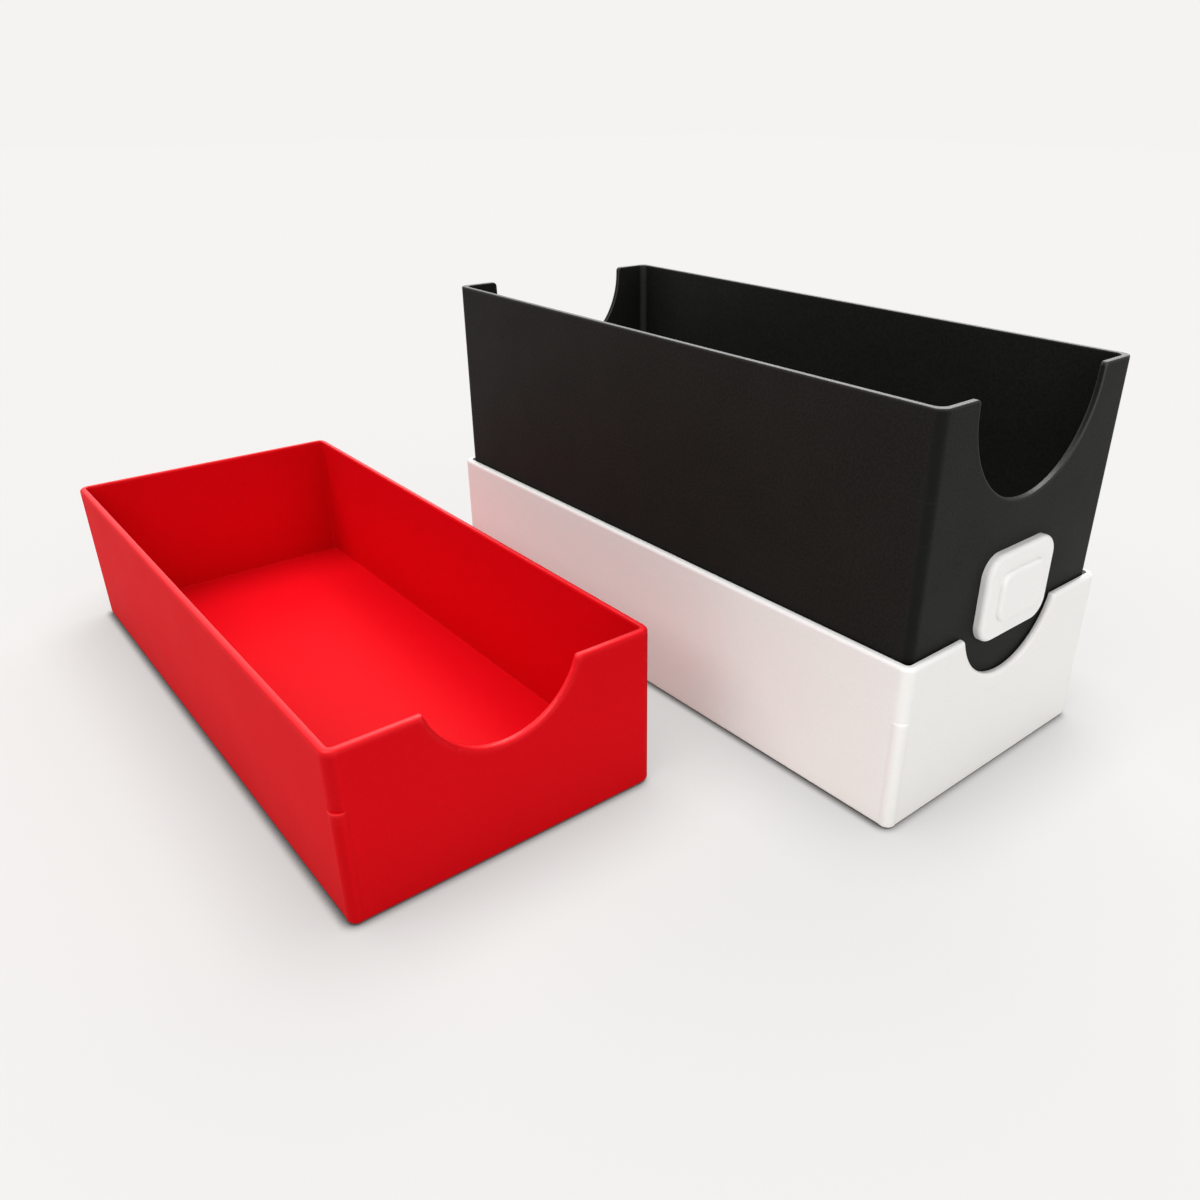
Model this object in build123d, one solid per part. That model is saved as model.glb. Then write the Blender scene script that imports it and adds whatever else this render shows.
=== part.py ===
from build123d import *
import math
import os

# A storage box for trading cards in rigid sleeves: a card bin that stands in a base tray,
# a plate pegged to the bin's front wall, and a lid that lies upside down beside the tray.
# Millimetres. The origin is the middle of the tray's underside, -Y is the front, +Z is up.

# Card bin
BAY_WIDTH = 81.8  # takes a sleeve 76.2 wide
BAY_LENGTH = 199.3
BAY_DEPTH = 108.3  # takes a sleeve 101.6 tall
BAY_CORNER = 2.5
BIN_WALL = 1.8
BIN_FLOOR = 2.0
BIN_BASE_EDGE = 1.2
BIN_RIM_OUTER_EDGE = 0.45
BIN_RIM_INNER_EDGE = 0.3
NOTCH_RADIUS = 28.1  # finger notch in both end walls
NOTCH_SIDE = 0.3  # upright stretch of a notch's side, between its round part and its shoulder
NOTCH_SHOULDER_EDGE = 1.4  # where the rim turns down into a notch

# Base tray and lid, two shells of one pattern
FIT_GAP = 0.3  # all round, between the bin and a shell
SHELL_WALL = 2.0
SHELL_FLOOR = 2.0
SHELL_HEIGHT = 48.7
SHELL_INNER_CORNER = 1.2
CORNER_RELIEF = 1.8  # by which the bin's corners are rounder than the inside of a shell's
SHELL_RIM_OUTER_EDGE = 1.2
SHELL_RIM_INNER_EDGE = 0.3
TRAY_BASE_EDGE = 0.8
LID_CROWN_EDGE = 1.4
SCOOP_SIDE_ROOM = 6.6  # between the front plate's side and the scoop's
SCOOP_THUMB_ROOM = 12.1  # from the front plate's lower edge down to the scoop's lowest point
SCOOP_SHOULDER_EDGE = 0.8  # where the rim turns down into the scoop
BEAD_STAND = 0.15  # by which the bead down a shell's front left corner stands out of both walls
BEAD_BLEND = 2.0  # where the bead runs out into a wall

# All three boxes
FLOOR_EDGE = 0.6  # between the floor and the walls

# Front plate
PLATE_WIDTH = 31.0
PLATE_HEIGHT = 25.0
PLATE_CORNER = 6.0
PLATE_THICKNESS = 2.6
PLATE_EDGE = 1.4
PAD_WIDTH = 20.0
PAD_HEIGHT = 14.0
PAD_CORNER = 3.5
PAD_THICKNESS = 1.3
PAD_EDGE = 0.9
PEG_DIAMETER = 5.0
PEG_SPACING = 20.0
PEG_GAP = 0.05  # all round, between a peg and its hole

# Where the lid lies
LID_GAP = 32.1  # between the lid's side and the tray's
LID_SETBACK = 57.6  # by which the lid lies further back than the tray
LID_TURN = -0.6  # degrees

# Sizes that follow
BIN_WIDTH = BAY_WIDTH + 2 * BIN_WALL
BIN_LENGTH = BAY_LENGTH + 2 * BIN_WALL
BIN_HEIGHT = BAY_DEPTH + BIN_FLOOR
BIN_CORNER = SHELL_INNER_CORNER + CORNER_RELIEF
NOTCH_DEPTH = NOTCH_RADIUS + NOTCH_SIDE + NOTCH_SHOULDER_EDGE
SHELL_WIDTH = BIN_WIDTH + 2 * (FIT_GAP + SHELL_WALL)
SHELL_LENGTH = BIN_LENGTH + 2 * (FIT_GAP + SHELL_WALL)
SHELL_CORNER = SHELL_INNER_CORNER + SHELL_WALL
BEAD_INSET = SHELL_CORNER + BEAD_STAND - math.sqrt(2 * BEAD_STAND * (SHELL_CORNER + BEAD_STAND))
BEAD_RADIUS = BEAD_INSET + BEAD_STAND  # meets both walls where the corner's rounding starts
PLATE_RISE = BIN_HEIGHT / 2  # from the bin's foot up to the plate's middle
SCOOP_RADIUS = PLATE_WIDTH / 2 + SCOOP_SIDE_ROOM
SCOOP_LOW = SHELL_FLOOR + PLATE_RISE - PLATE_HEIGHT / 2 - SCOOP_THUMB_ROOM


def upright_block(width, length, height, corner):
    """A block standing on z = 0 with rounded upright edges."""
    return extrude(RectangleRounded(width, length, corner), amount=height)


def round_base(block, radius):
    """Rounds the edges of a block's lowest face."""
    return fillet(block.faces().sort_by(Axis.Z)[0].edges(), radius)


def round_top(block, radius):
    """Rounds the edges of a block's highest face."""
    return fillet(block.faces().sort_by(Axis.Z)[-1].edges(), radius)


def inset(point, width, length, corner):
    """How far a point lies inside a rounded rectangle that is centred on the origin."""
    across = abs(point.X) - (width / 2 - corner)
    along = abs(point.Y) - (length / 2 - corner)
    return corner - math.hypot(max(across, 0), max(along, 0)) - min(max(across, along), 0)


def rim_edges(box, outline, height, shoulder_edge):
    """Each edge of an open box's rim that runs along its walls, with its inset."""
    top = height - 2 * shoulder_edge
    edges = box.edges().filter_by(Axis.Z, reverse=True)
    edges = edges.filter_by(lambda edge: edge.bounding_box().max.Z > top)
    return [(edge, inset(edge @ 0.5, *outline)) for edge in edges]


def round_rim(box, outline, height, wall, shoulder_edge, outer_edge, inner_edge):
    """Rounds an open box's rim, which turns down into the cuts in its end walls."""
    top_edges = box.edges().filter_by(Axis.Y).group_by(Axis.Z)[-1]
    shoulders = top_edges.filter_by(lambda edge: edge.length < 2 * wall)
    box = fillet(shoulders, shoulder_edge)
    outer = [edge for edge, depth in rim_edges(box, outline, height, shoulder_edge) if depth < wall / 4]
    box = fillet(outer, outer_edge)
    inner = [edge for edge, depth in rim_edges(box, outline, height, shoulder_edge) if depth > wall * 3 / 4]
    return fillet(inner, inner_edge)


def end_cutter(radius, wall):
    """A cylinder along Y that reaches through an end wall from the middle of it."""
    return Rot(90, 0, 0) * Cylinder(radius, 3 * wall)


def slot_cutter(radius, wall):
    """The same, with straight sides above its middle, so that it stays open at the top."""
    upper_half = Box(2 * radius, 3 * wall, SHELL_HEIGHT, align=(Align.CENTER, Align.CENTER, Align.MIN))
    return end_cutter(radius, wall) + upper_half


def make_bin():
    """The card bin, standing on z = 0."""
    outline = (BIN_WIDTH, BIN_LENGTH, BIN_CORNER)
    body = upright_block(BIN_WIDTH, BIN_LENGTH, BIN_HEIGHT, BIN_CORNER)
    body = round_base(body, BIN_BASE_EDGE)
    bay = upright_block(BAY_WIDTH, BAY_LENGTH, BAY_DEPTH, BAY_CORNER)
    body -= Pos(0, 0, BIN_FLOOR) * round_base(bay, FLOOR_EDGE)
    wall_middle = (BIN_LENGTH - BIN_WALL) / 2
    for end in (-1, 1):
        notch = Pos(0, end * wall_middle, BIN_HEIGHT - NOTCH_DEPTH + NOTCH_RADIUS)
        body -= notch * slot_cutter(NOTCH_RADIUS, BIN_WALL)
    edges = (NOTCH_SHOULDER_EDGE, BIN_RIM_OUTER_EDGE, BIN_RIM_INNER_EDGE)
    body = round_rim(body, outline, BIN_HEIGHT, BIN_WALL, *edges)
    for side in (-1, 1):
        hole = end_cutter(PEG_DIAMETER / 2 + PEG_GAP, BIN_WALL)
        body -= Pos(side * PEG_SPACING / 2, -wall_middle, PLATE_RISE) * hole
    return body


def beaded_outline():
    """A shell's outline below the level of its scoop, where the bead runs down a corner."""
    middle = Vector(BEAD_INSET - SHELL_WIDTH / 2, BEAD_INSET - SHELL_LENGTH / 2)
    outline = RectangleRounded(SHELL_WIDTH, SHELL_LENGTH, SHELL_CORNER) + Pos(middle) * Circle(BEAD_RADIUS)
    creases = outline.vertices().filter_by(lambda vertex: (Vector(vertex) - middle).length < SHELL_CORNER)
    return fillet(creases, BEAD_BLEND)


def make_shell(base_edge):
    """A tray or lid with its open side up, standing on z = 0."""
    outline = (SHELL_WIDTH, SHELL_LENGTH, SHELL_CORNER)
    body = round_base(extrude(beaded_outline(), amount=SCOOP_LOW), base_edge)
    upper = upright_block(SHELL_WIDTH, SHELL_LENGTH, SHELL_HEIGHT - SCOOP_LOW, SHELL_CORNER)
    body += Pos(0, 0, SCOOP_LOW) * upper
    hollow = upright_block(
        SHELL_WIDTH - 2 * SHELL_WALL,
        SHELL_LENGTH - 2 * SHELL_WALL,
        SHELL_HEIGHT - SHELL_FLOOR,
        SHELL_INNER_CORNER,
    )
    body -= Pos(0, 0, SHELL_FLOOR) * round_base(hollow, FLOOR_EDGE)
    wall_middle = (SHELL_LENGTH - SHELL_WALL) / 2
    scoop = Pos(0, -wall_middle, SCOOP_LOW + SCOOP_RADIUS)
    body -= scoop * slot_cutter(SCOOP_RADIUS, SHELL_WALL)
    edges = (SCOOP_SHOULDER_EDGE, SHELL_RIM_OUTER_EDGE, SHELL_RIM_INNER_EDGE)
    return round_rim(body, outline, SHELL_HEIGHT, SHELL_WALL, *edges)


def make_front_plate():
    """The stepped plate with its back on z = 0, its front up and its pegs below."""
    plate = upright_block(PLATE_WIDTH, PLATE_HEIGHT, PLATE_THICKNESS, PLATE_CORNER)
    plate = round_top(plate, PLATE_EDGE)
    pad = upright_block(PAD_WIDTH, PAD_HEIGHT, PLATE_THICKNESS + PAD_THICKNESS, PAD_CORNER)
    plate += round_top(pad, PAD_EDGE)
    for side in (-1, 1):
        peg = extrude(Circle(PEG_DIAMETER / 2), amount=-BIN_WALL)
        plate += Pos(side * PEG_SPACING / 2, 0, 0) * peg
    return plate


bin_place = Pos(0, 0, SHELL_FLOOR)
plate_place = bin_place * Pos(0, -BIN_LENGTH / 2, PLATE_RISE) * Rot(90, 0, 0)
lid_place = Pos(-SHELL_WIDTH - LID_GAP, LID_SETBACK, 0) * Rot(0, 0, LID_TURN)

nodes = {
    "base_tray": make_shell(TRAY_BASE_EDGE),
    "card_bin": bin_place * make_bin(),
    "front_plate": plate_place * make_front_plate(),
    "lid": lid_place * make_shell(LID_CROWN_EDGE),
}

os.makedirs("parts", exist_ok=True)
for name, solid in nodes.items():
    export_step(solid, os.path.join("parts", name + ".step"))
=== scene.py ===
import math

import bpy
from mathutils import Matrix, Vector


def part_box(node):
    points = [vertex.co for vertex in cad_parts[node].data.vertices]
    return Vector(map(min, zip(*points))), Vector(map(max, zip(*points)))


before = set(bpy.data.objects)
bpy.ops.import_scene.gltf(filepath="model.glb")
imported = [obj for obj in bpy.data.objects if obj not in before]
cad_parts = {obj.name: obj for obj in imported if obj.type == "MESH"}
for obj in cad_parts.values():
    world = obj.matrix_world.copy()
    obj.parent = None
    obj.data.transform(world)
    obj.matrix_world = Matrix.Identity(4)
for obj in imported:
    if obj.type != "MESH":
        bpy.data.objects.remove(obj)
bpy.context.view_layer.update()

# Camera, in metres, degrees and pixels of the 1200-pixel picture
CAMERA_PLACE = (-0.22765, -0.22129, 0.17215)
CAMERA_YAW = 40.72  # from +Y towards +X
CAMERA_PITCH = 27.01  # below the horizon
CAMERA_ROLL = 0.475
CAMERA_NEAREST = 0.01
PICTURE_PIXELS = 1200
FOCAL_PIXELS = 999.0
AXIS_PIXEL = (655.4, 606.3)  # where the lens axis meets the picture
SENSOR_WIDTH = 36.0

# Stage and light, in metres and degrees
FLOOR_SIZE = 8.0
FLOOR_COLOUR = (0.75, 0.74, 0.725)
FLOOR_ROUGHNESS = 0.9
GLOW_COLOUR = (0.889, 0.881, 0.866)  # a lit backdrop's tone, which is mixed into the floor
SEEN_GLOW = 0.75  # its share in what is seen of the floor
BOUNCE_GLOW = 0.4  # its share in the light that the floor sheds on the pieces
SHADE_REACH = 0.03  # within which a piece that stands on the floor darkens it with painted shade
SHADE_DEPTH = 0.52  # share of the floor's tone that such shade leaves, if it were complete
CONTACT_REACH = 0.0032  # within which it leaves a painted dark line
CONTACT_OPENNESS = (0.1, 0.95)  # of the floor, where that line is darkest and where it ends
CONTACT_COLOUR = (0.025, 0.02, 0.018)
CONTACT_LEAN = (0.5, 0.1, 0.86)  # towards the side from which pieces shade the floor most
FILL_COLOUR = (0.25, 0.25, 0.25)  # what the surroundings shed on the object
BACKDROP_COLOUR = (0.905, 0.896, 0.880)  # what the camera and reflections see of them
SOFTBOX_SPREAD = 50.0
SOFTBOXES = {  # strength, and degrees off the vertical towards the front and the right
    "left_softbox": (1.92, 0.0, -35.0),
    "rear_softbox": (1.95, -25.0, 40.0),
    "front_softbox": (1.0, 65.0, 0.0),
}

# Finishes, in metres. A facing is the upward part of a face's direction.
GRAIN_SIZE = 0.0007
GRAIN_DETAIL = 2.0
GRAIN_RANGE = (0.3, 0.7)  # of its noise, from the deepest specks to the palest
MOTTLE_SIZE = 0.018
MOTTLE_DETAIL = 4.0
SHEEN_SWING = 0.03  # by which the roughness goes up and down with the mottling
LEVEL_FACING = (0.85, 0.99)  # from which a face starts to count as level, and fully does
LEVEL_SMOOTHING = 0.24  # by which the roughness is lower there
RIM_SHARE = 0.6  # of a piece's height, above which its upward faces and edges are worn smooth, and take any painted light
RIM_FACING = 0.95  # from which such a face is fully worn
EDGE_SOLIDITY = (0.95, 0.6)  # of the wall behind a face, and behind a worn edge
CORNER_SLANT = (0.1, 0.5)  # product of a face's two level parts, on a wall and halfway round a corner
RECESS_REACH = 0.025  # within which other surfaces darken a colour with painted shade
HAIRLINE_LENGTH = 0.04
HAIRLINE_WIDTH = 0.0004
HAIRLINE_TILT = (0.03, -0.05, 0.0)  # radians
HAIRLINE_DETAIL = 1.0
HAIRLINE_RANGE = (0.70, 0.80)  # of its noise, from no line to a full one
HAIRLINE_FACING = (0.5, 0.2)  # from no lines to all of them
OCCLUSION_SAMPLES = 8


def add_node(tree, kind, inputs=None, **properties):
    """A new node, with its properties set and its inputs set or linked."""
    node = tree.nodes.new(kind)
    for name, value in properties.items():
        setattr(node, name, value)
    for name, value in (inputs or {}).items():
        if isinstance(value, bpy.types.NodeSocket):
            tree.links.new(value, node.inputs[name])
        else:
            node.inputs[name].default_value = value
    return node


def math_node(tree, operation, first, second=0.0):
    """The result of a sum on one or two values or sockets."""
    return add_node(tree, "ShaderNodeMath", {0: first, 1: second}, operation=operation).outputs[0]


def ramp(tree, value, start, end, low=0.0, high=1.0):
    """A value that goes smoothly from low to high while another goes from start to end."""
    settings = {"Value": value, "From Min": start, "From Max": end, "To Min": low, "To Max": high}
    node = add_node(tree, "ShaderNodeMapRange", settings, interpolation_type="SMOOTHSTEP")
    return node.outputs["Result"]


def blend_colour(tree, factor, first, second):
    """A mix of two colours or colour sockets."""
    settings = {"Factor": factor, "A": first, "B": second}
    return add_node(tree, "ShaderNodeMix", settings, data_type="RGBA").outputs["Result"]


def noise(tree, place, size, detail):
    """Noise with features of a given size."""
    settings = {"Vector": place, "Scale": 1 / size, "Detail": detail}
    return add_node(tree, "ShaderNodeTexNoise", settings).outputs["Fac"]


def coordinates(tree, kind):
    """A spot on the object, or the direction that its surface faces there."""
    return add_node(tree, "ShaderNodeTexCoord").outputs[kind]


def split_coordinates(tree, kind):
    """The same as X, Y and Z."""
    return add_node(tree, "ShaderNodeSeparateXYZ", {0: coordinates(tree, kind)}).outputs


def occlusion(tree, reach, inside=False, lean=None):
    """1 in the open, less where a surface lies within reach, outside the object or within its walls."""
    settings = {"Distance": reach}
    if lean:
        direction = add_node(tree, "ShaderNodeCombineXYZ", dict(zip("XYZ", lean)))
        settings["Normal"] = direction.outputs["Vector"]
    node = add_node(tree, "ShaderNodeAmbientOcclusion", settings, samples=OCCLUSION_SAMPLES)
    node.inside = inside
    node.only_local = inside
    return node.outputs["AO"]


def add_camera():
    """The photograph's viewpoint."""
    data = bpy.data.cameras.new("camera")
    data.sensor_width = SENSOR_WIDTH
    data.lens = SENSOR_WIDTH * FOCAL_PIXELS / PICTURE_PIXELS
    data.shift_x = 0.5 - AXIS_PIXEL[0] / PICTURE_PIXELS
    data.shift_y = AXIS_PIXEL[1] / PICTURE_PIXELS - 0.5
    data.clip_start = CAMERA_NEAREST
    camera = bpy.data.objects.new("camera", data)
    turn = Matrix.Rotation(math.radians(-CAMERA_YAW), 4, "Z")
    turn = turn @ Matrix.Rotation(math.radians(90 - CAMERA_PITCH), 4, "X")
    turn = turn @ Matrix.Rotation(math.radians(CAMERA_ROLL), 4, "Z")
    camera.matrix_world = Matrix.Translation(CAMERA_PLACE) @ turn
    bpy.context.scene.collection.objects.link(camera)
    bpy.context.scene.camera = camera


def add_softboxes():
    """Large, soft lamps around the top of the stage."""
    for name, (strength, forward, sideways) in SOFTBOXES.items():
        data = bpy.data.lights.new(name, "SUN")
        data.energy = strength
        data.angle = math.radians(SOFTBOX_SPREAD)
        lamp = bpy.data.objects.new(name, data)
        lamp.rotation_euler = (math.radians(forward), math.radians(sideways), 0)
        bpy.context.scene.collection.objects.link(lamp)


def seen_rays(tree):
    """1 for the rays that show a surface to the camera, straight or in a reflection."""
    rays = add_node(tree, "ShaderNodeLightPath").outputs
    mirrored = math_node(tree, "MAXIMUM", rays["Is Glossy Ray"], rays["Is Transmission Ray"])
    return math_node(tree, "MAXIMUM", rays["Is Camera Ray"], mirrored)


def add_surroundings():
    """An even pale room that fills the shadows and shows as the backdrop."""
    world = bpy.data.worlds.new("surroundings")
    world.use_nodes = True
    bpy.context.scene.world = world
    tree = world.node_tree
    fill = tree.nodes["Background"]
    fill.inputs["Color"].default_value = (*FILL_COLOUR, 1)
    seen = add_node(tree, "ShaderNodeBackground", {"Color": (*BACKDROP_COLOUR, 1)})
    sides = {0: seen_rays(tree), 1: fill.outputs[0], 2: seen.outputs[0]}
    mix = add_node(tree, "ShaderNodeMixShader", sides)
    tree.links.new(mix.outputs[0], tree.nodes["World Output"].inputs["Surface"])


def add_floor():
    """A pale floor that runs into the backdrop and takes the object's shadow, with painted shade round
    the pieces and a painted dark line at their feet.
    """
    bpy.ops.mesh.primitive_plane_add(size=FLOOR_SIZE)
    floor = bpy.context.object
    floor.name = "floor"
    material = bpy.data.materials.new("floor_paint")
    material.use_nodes = True
    tree = material.node_tree
    paint = tree.nodes["Principled BSDF"]
    paint.inputs["Roughness"].default_value = FLOOR_ROUGHNESS
    paint.inputs["Specular IOR Level"].default_value = 0.0
    # Painted shade round the pieces and a painted dark line where they stand, on top of the lamps' own
    # shadows.
    shade = occlusion(tree, SHADE_REACH)
    painted_contact_shadow = ramp(tree, occlusion(tree, CONTACT_REACH, lean=CONTACT_LEAN), *CONTACT_OPENNESS)
    seen = seen_rays(tree)
    tones = []
    for colour in (FLOOR_COLOUR, GLOW_COLOUR):
        deep = tuple(SHADE_DEPTH * channel for channel in colour)
        shaded = blend_colour(tree, shade, (*deep, 1), (*colour, 1))
        tones.append(blend_colour(tree, painted_contact_shadow, (*CONTACT_COLOUR, 1), shaded))
    painted, lit = tones
    base = blend_colour(tree, seen, (*FLOOR_COLOUR, 1), painted)
    tree.links.new(base, paint.inputs["Base Color"])
    glow = add_node(tree, "ShaderNodeEmission", {"Color": lit})
    share = ramp(tree, seen, 0.0, 1.0, BOUNCE_GLOW, SEEN_GLOW)
    mix = add_node(tree, "ShaderNodeMixShader", {0: share, 1: paint.outputs[0], 2: glow.outputs[0]})
    tree.links.new(mix.outputs[0], tree.nodes["Material Output"].inputs["Surface"])
    floor.data.materials.append(material)


def new_group(name, inputs, outputs):
    """An empty node group with numbers for its inputs and outputs, and the sockets at both ends."""
    group = bpy.data.node_groups.new(name, "ShaderNodeTree")
    for socket, value in inputs.items():
        made = group.interface.new_socket(socket, in_out="INPUT", socket_type="NodeSocketFloat")
        made.default_value = value
    for socket in outputs:
        group.interface.new_socket(socket, in_out="OUTPUT", socket_type="NodeSocketFloat")
    given = group.nodes.new("NodeGroupInput").outputs
    result = group.nodes.new("NodeGroupOutput").inputs
    return group, given, result


def make_grain_group():
    """Fine moulded grain, broad, faint mottling, and the colour's speckle, which is half of each."""
    group, _, result = new_group("moulded_grain", {}, ("Grain", "Mottle", "Speckle"))
    spot = coordinates(group, "Object")
    grain = noise(group, spot, GRAIN_SIZE, GRAIN_DETAIL)
    mottle = noise(group, spot, MOTTLE_SIZE, MOTTLE_DETAIL)
    both = math_node(group, "ADD", mottle, ramp(group, grain, *GRAIN_RANGE))
    group.links.new(grain, result["Grain"])
    group.links.new(mottle, result["Mottle"])
    group.links.new(math_node(group, "MULTIPLY", both, 0.5), result["Speckle"])
    return group


def make_edge_group():
    """Level faces, and a piece's rim: its upward faces and sharp edges above a given height."""
    inputs = {"Split": 0.0, "Reach": 0.001, "Turn": 0.5}
    group, given, result = new_group("worn_edges", inputs, ("Level", "Rim"))
    spot = split_coordinates(group, "Object")
    facing = split_coordinates(group, "Normal")
    level = ramp(group, facing["Z"], *LEVEL_FACING)
    upward = ramp(group, facing["Z"], given["Turn"], RIM_FACING)
    edge = ramp(group, occlusion(group, given["Reach"], inside=True), *EDGE_SOLIDITY)
    high = math_node(group, "GREATER_THAN", spot["Z"], given["Split"])
    rim = math_node(group, "MULTIPLY", high, math_node(group, "MAXIMUM", upward, edge))
    group.links.new(level, result["Level"])
    group.links.new(rim, result["Rim"])
    return group


def make_corner_group():
    """The rounded upright corners outside and inside a box, strongest halfway between two walls: the
    mask for painted tones there.
    """
    group, given, result = new_group("upright_corners", {"Middle": 0.0}, ("Outer", "Inner"))
    spot = split_coordinates(group, "Object")
    facing = split_coordinates(group, "Normal")
    slant = math_node(group, "ABSOLUTE", math_node(group, "MULTIPLY", facing["X"], facing["Y"]))
    painted_corner_tone = ramp(group, slant, *CORNER_SLANT)
    aside = math_node(group, "SUBTRACT", spot["X"], given["Middle"])
    outward = math_node(group, "GREATER_THAN", math_node(group, "MULTIPLY", aside, facing["X"]), 0.0)
    outer = math_node(group, "MULTIPLY", painted_corner_tone, outward)
    group.links.new(outer, result["Outer"])
    group.links.new(math_node(group, "SUBTRACT", painted_corner_tone, outer), result["Inner"])
    return group


def make_painted_shade_group():
    """How open a spot is: less in corners, in hollows and under other pieces, which sets where painted
    shade falls.
    """
    group, given, result = new_group("recesses", {"Reach": RECESS_REACH}, ("Open",))
    group.links.new(occlusion(group, given["Reach"]), result["Open"])
    return group


def make_hairline_group():
    """Sparse, faint hairlines along the walls, as handling leaves on plastic."""
    group, _, result = new_group("hairlines", {}, ("Lines",))
    stretch = (1.0, 1.0, HAIRLINE_LENGTH / HAIRLINE_WIDTH)
    settings = {"Vector": coordinates(group, "Object"), "Scale": stretch, "Rotation": HAIRLINE_TILT}
    drawn_out = add_node(group, "ShaderNodeMapping", settings).outputs["Vector"]
    lines = ramp(group, noise(group, drawn_out, HAIRLINE_LENGTH, HAIRLINE_DETAIL), *HAIRLINE_RANGE)
    facing = math_node(group, "ABSOLUTE", split_coordinates(group, "Normal")["Z"])
    upright = ramp(group, facing, *HAIRLINE_FACING)
    group.links.new(math_node(group, "MULTIPLY", lines, upright), result["Lines"])
    return group


def plastic(
    piece,
    name,
    pale,
    deep,
    painted_recess_shade,
    scuffed,
    roughness,
    specular,
    grain_depth,
    edge_reach,
    rim_turn,
    rim_gloss,
    rim_roughness,
    painted_upward_light=None,
    painted_corner_tone=None,
    painted_nook_tone=None,
):
    """A moulded plastic, mottled between two colours, grained and scuffed, with a smooth worn rim,
    painted shade in its recesses, and, where given, painted light on its level faces and rim and painted
    tones round its upright corners.
    """
    material = bpy.data.materials.new(name)
    material.use_nodes = True
    tree = material.node_tree
    shader = tree.nodes["Principled BSDF"]
    shader.inputs["Specular IOR Level"].default_value = specular
    shader.inputs["Coat Roughness"].default_value = rim_roughness
    low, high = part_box(piece)
    grain = add_node(tree, "ShaderNodeGroup", node_tree=grain_group).outputs
    lines = add_node(tree, "ShaderNodeGroup", node_tree=hairline_group).outputs["Lines"]
    open_spots = add_node(tree, "ShaderNodeGroup", node_tree=painted_shade_group).outputs["Open"]
    edges = add_node(tree, "ShaderNodeGroup", node_tree=edge_group)
    edges.inputs["Split"].default_value = low.z + RIM_SHARE * (high.z - low.z)
    edges.inputs["Reach"].default_value = edge_reach
    edges.inputs["Turn"].default_value = rim_turn
    level = edges.outputs["Level"]
    rim = edges.outputs["Rim"]

    colour = blend_colour(tree, grain["Speckle"], (*deep, 1), (*pale, 1))
    # Painted shade round the outer upright corners, and a painted tone in the inner ones: a highlight on
    # the bin, shade on the lid.
    if painted_corner_tone:
        corners = add_node(tree, "ShaderNodeGroup", node_tree=corner_group)
        corners.inputs["Middle"].default_value = (low.x + high.x) / 2
        colour = blend_colour(tree, corners.outputs["Outer"], colour, (*painted_corner_tone, 1))
        colour = blend_colour(tree, corners.outputs["Inner"], colour, (*painted_nook_tone, 1))
    # Painted light on level faces and the rim.
    if painted_upward_light:
        colour = blend_colour(tree, math_node(tree, "MAXIMUM", level, rim), colour, (*painted_upward_light, 1))
    colour = blend_colour(tree, lines, colour, (*scuffed, 1))
    # Painted shade in corners, hollows and under other pieces.
    colour = blend_colour(tree, open_spots, (*painted_recess_shade, 1), colour)
    sheen = ramp(tree, grain["Mottle"], 0.0, 1.0, roughness + SHEEN_SWING, roughness - SHEEN_SWING)
    smoothing = math_node(tree, "MULTIPLY", level, LEVEL_SMOOTHING)
    bump = add_node(tree, "ShaderNodeBump", {"Height": grain["Grain"], "Distance": grain_depth})
    tree.links.new(colour, shader.inputs["Base Color"])
    tree.links.new(math_node(tree, "SUBTRACT", sheen, smoothing), shader.inputs["Roughness"])
    tree.links.new(math_node(tree, "MULTIPLY", rim, rim_gloss), shader.inputs["Coat Weight"])
    tree.links.new(bump.outputs["Normal"], shader.inputs["Normal"])
    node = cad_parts[piece]
    node.data.materials.clear()
    node.data.materials.append(material)


def finish_tray():
    """Satin white, glossiest on its rim, and whitest there and on its level faces through painted light.
    """
    plastic(
        "base_tray",
        "white_shell",
        pale=(0.90, 0.89, 0.865),
        deep=(0.86, 0.85, 0.825),
        # Painted shade in recesses.
        painted_recess_shade=(0.84, 0.82, 0.79),
        scuffed=(0.85, 0.835, 0.805),
        roughness=0.5,
        specular=0.15,
        grain_depth=0.000015,
        edge_reach=0.0015,
        rim_turn=0.0,
        rim_gloss=1.0,
        rim_roughness=0.3,
        # Painted light on level faces and the rim.
        painted_upward_light=(0.98, 0.975, 0.96),
    )


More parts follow.
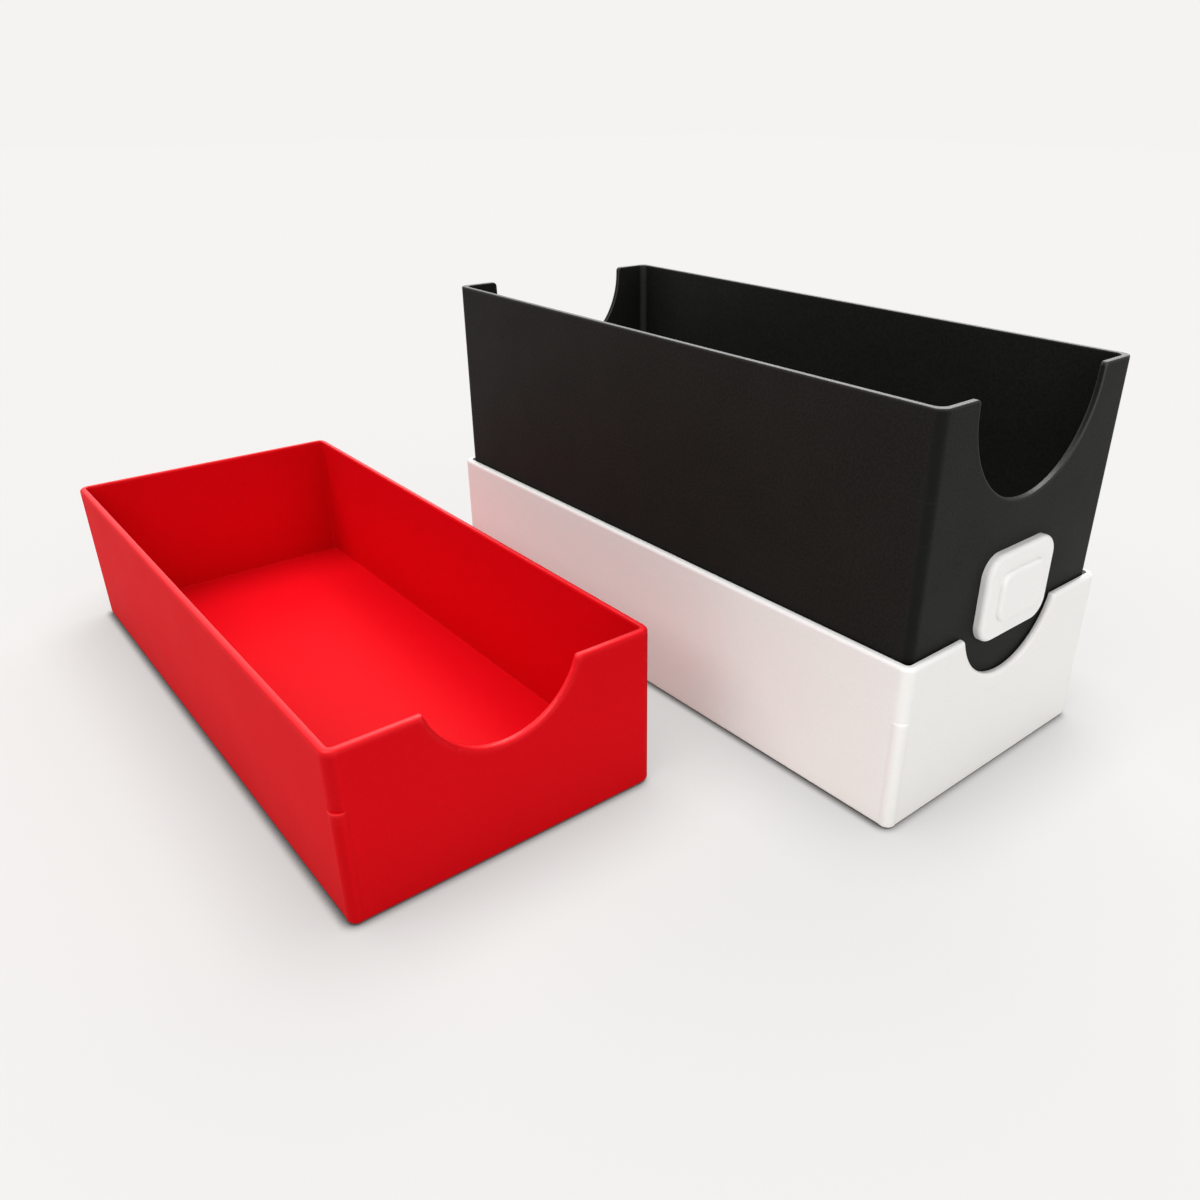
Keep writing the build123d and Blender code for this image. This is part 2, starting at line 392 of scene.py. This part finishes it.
def finish_plate():
    """Satin white, a little paler than the tray's walls."""
    plastic(
        "front_plate",
        "white_plate",
        pale=(0.91, 0.905, 0.89),
        deep=(0.87, 0.865, 0.85),
        # Painted shade in recesses.
        painted_recess_shade=(0.84, 0.82, 0.79),
        scuffed=(0.86, 0.855, 0.84),
        roughness=0.45,
        specular=0.2,
        grain_depth=0.000015,
        edge_reach=0.0015,
        rim_turn=0.0,
        rim_gloss=1.0,
        rim_roughness=0.3,
    )


def finish_bin():
    """Matte black with the deepest grain, darker round its outer corners through painted shade and paler
    in its inner ones through a painted highlight.
    """
    plastic(
        "card_bin",
        "black_bin",
        pale=(0.0177, 0.0180, 0.0158),
        deep=(0.0083, 0.0086, 0.0072),
        # Painted shade in recesses.
        painted_recess_shade=(0.0045, 0.0045, 0.004),
        scuffed=(0.0170, 0.0172, 0.0152),
        roughness=0.5,
        specular=0.05,
        grain_depth=0.00005,
        edge_reach=0.0008,
        rim_turn=0.5,
        rim_gloss=0.75,
        rim_roughness=0.4,
        # Painted shade round outer corners, a painted highlight in inner ones.
        painted_corner_tone=(0.0085, 0.0087, 0.0074),
        painted_nook_tone=(0.045, 0.045, 0.042),
    )


def finish_lid():
    """Satin red, brightest on its floor and rim through painted light, and darker round its corners
    through painted shade.
    """
    plastic(
        "lid",
        "red_shell",
        pale=(0.70, 0.001, 0.006),
        deep=(0.64, 0.0008, 0.005),
        # Painted shade in recesses.
        painted_recess_shade=(0.50, 0.0, 0.002),
        scuffed=(0.69, 0.004, 0.009),
        roughness=0.66,
        specular=0.05,
        grain_depth=0.00003,
        edge_reach=0.0015,
        rim_turn=0.5,
        rim_gloss=0.75,
        rim_roughness=0.4,
        # Painted light on level faces and the rim.
        painted_upward_light=(0.94, 0.005, 0.013),
        # Painted shade round all upright corners.
        painted_corner_tone=(0.54, 0.0005, 0.004),
        painted_nook_tone=(0.54, 0.0005, 0.004),
    )


add_camera()
add_softboxes()
add_surroundings()
add_floor()

grain_group = make_grain_group()
edge_group = make_edge_group()
corner_group = make_corner_group()
painted_shade_group = make_painted_shade_group()
hairline_group = make_hairline_group()

finish_tray()
finish_plate()
finish_bin()
finish_lid()

bpy.context.scene.view_settings.view_transform = "Standard"
